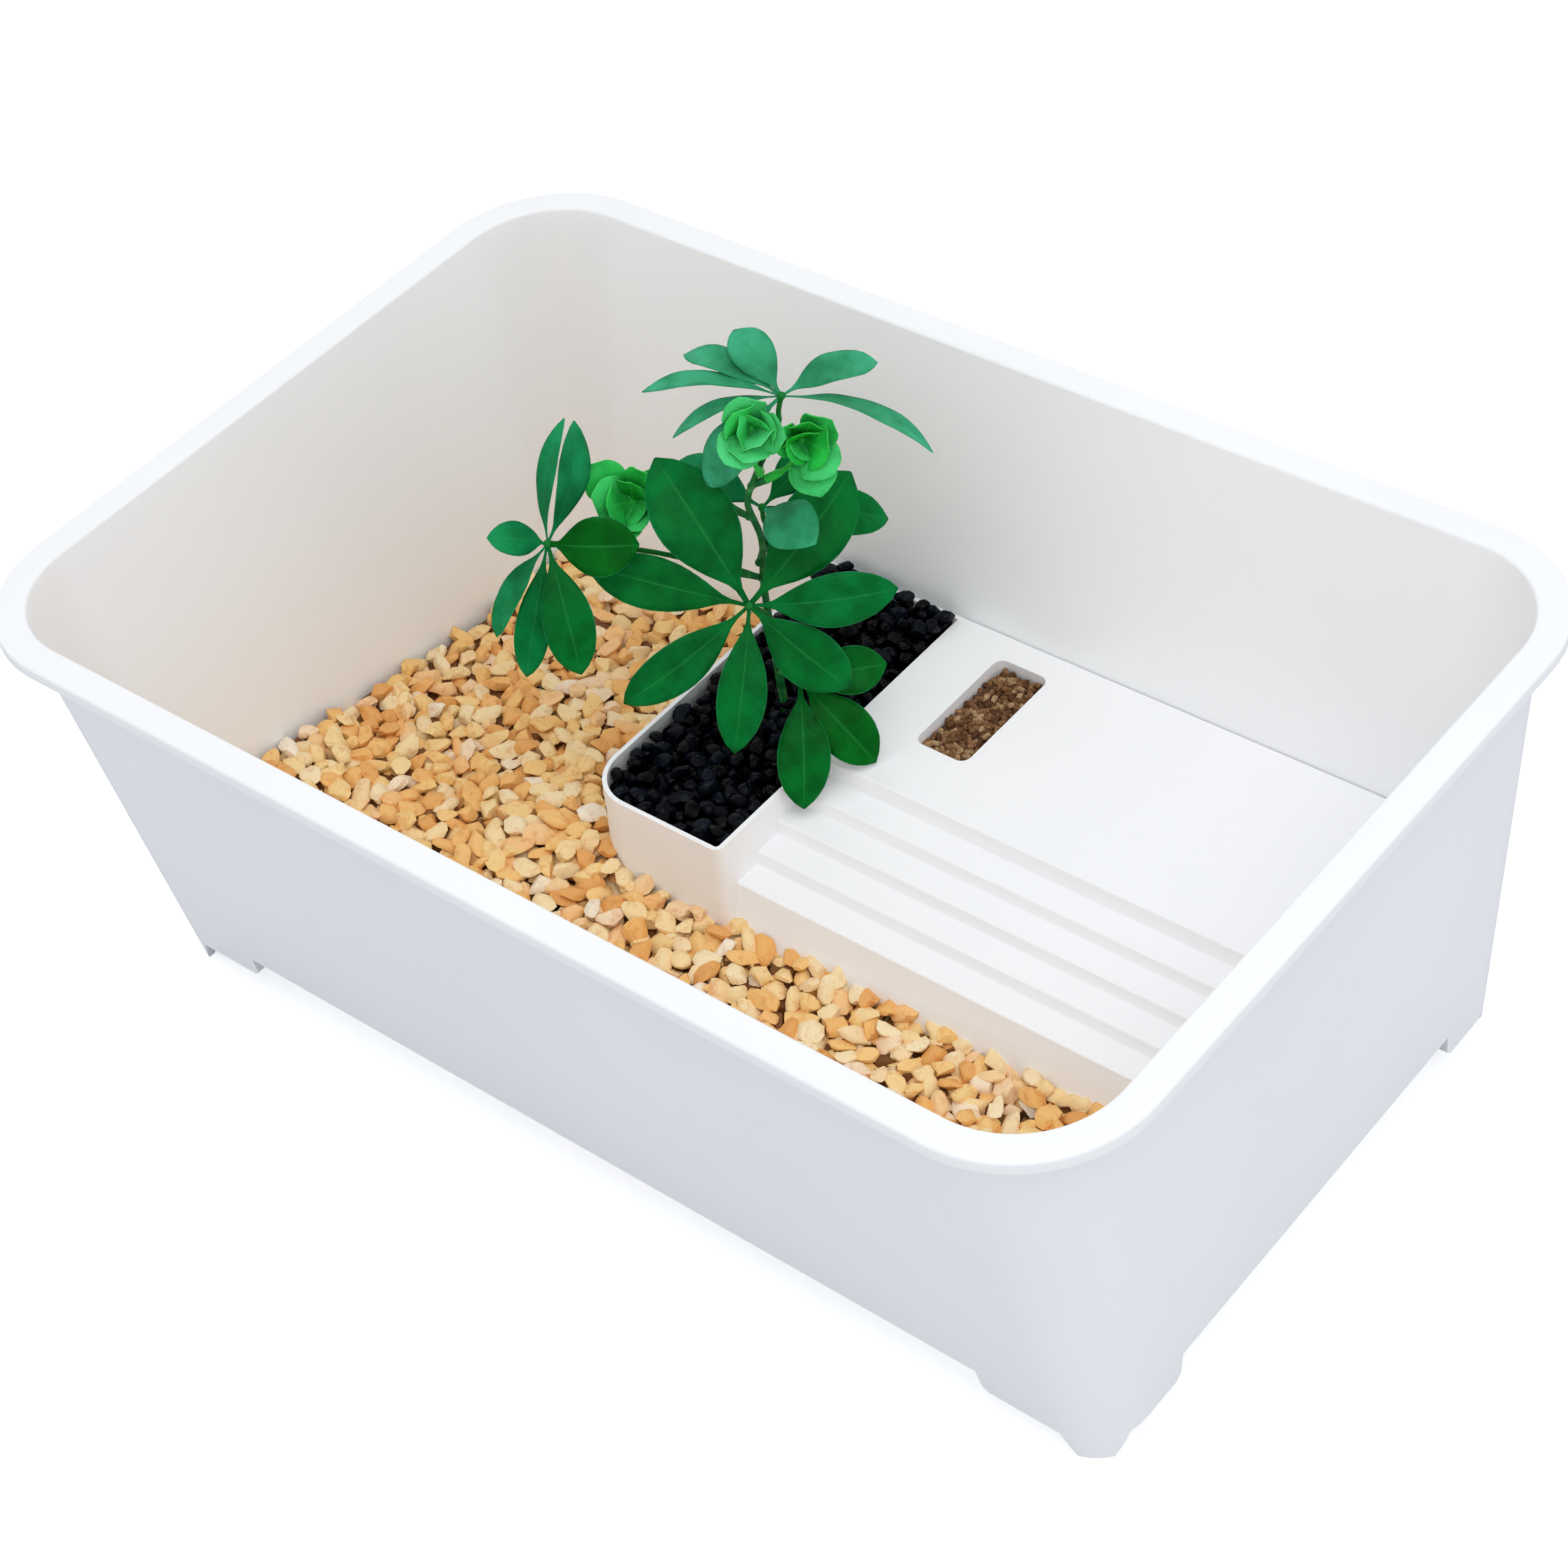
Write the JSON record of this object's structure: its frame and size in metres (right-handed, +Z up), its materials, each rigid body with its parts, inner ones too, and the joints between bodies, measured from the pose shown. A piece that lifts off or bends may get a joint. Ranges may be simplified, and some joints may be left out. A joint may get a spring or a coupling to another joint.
{
  "type": "reptile tank",
  "caption": "Open moulded reptile tank on low corner feet, with a stepped basking platform, planter, feed trough, gravel bed and artificial plant.",
  "frame": {"origin": "on the ground, under the middle of the tub", "axes": "+X along the length towards the end with the feed trough, +Y from the open swimming side to the back wall with the deck, +Z up"},
  "size_m": [0.6, 0.394, 0.2839],
  "materials": {
    "tub_plastic": "smooth white moulded plastic",
    "platform_plastic": "smooth white moulded plastic",
    "gravel": "dry tan and cream natural pebbles",
    "black_stone": "wet-looking black stones",
    "feed": "dry brown pressed pellets",
    "plant_stem": "satin green moulded plastic",
    "leaf": "satin deep green",
    "young_leaf": "satin bright green"
  },
  "bodies": {
    "root": {"tub": "tub_plastic", "basking_platform": "platform_plastic", "gravel": "gravel", "planter_stones": "black_stone", "feed_pellets": "feed", "plant_stem": "plant_stem", "middle_leaf_whorl": "leaf", "left_leaf_whorl": "leaf", "top_leaf_whorl": "leaf", "rear_leaf_whorl": "leaf", "lower_leaf_whorl": "leaf", "top_young_leaves": "young_leaf", "upper_young_leaves": "young_leaf", "left_young_leaves": "young_leaf"}
  },
  "joints": []
}
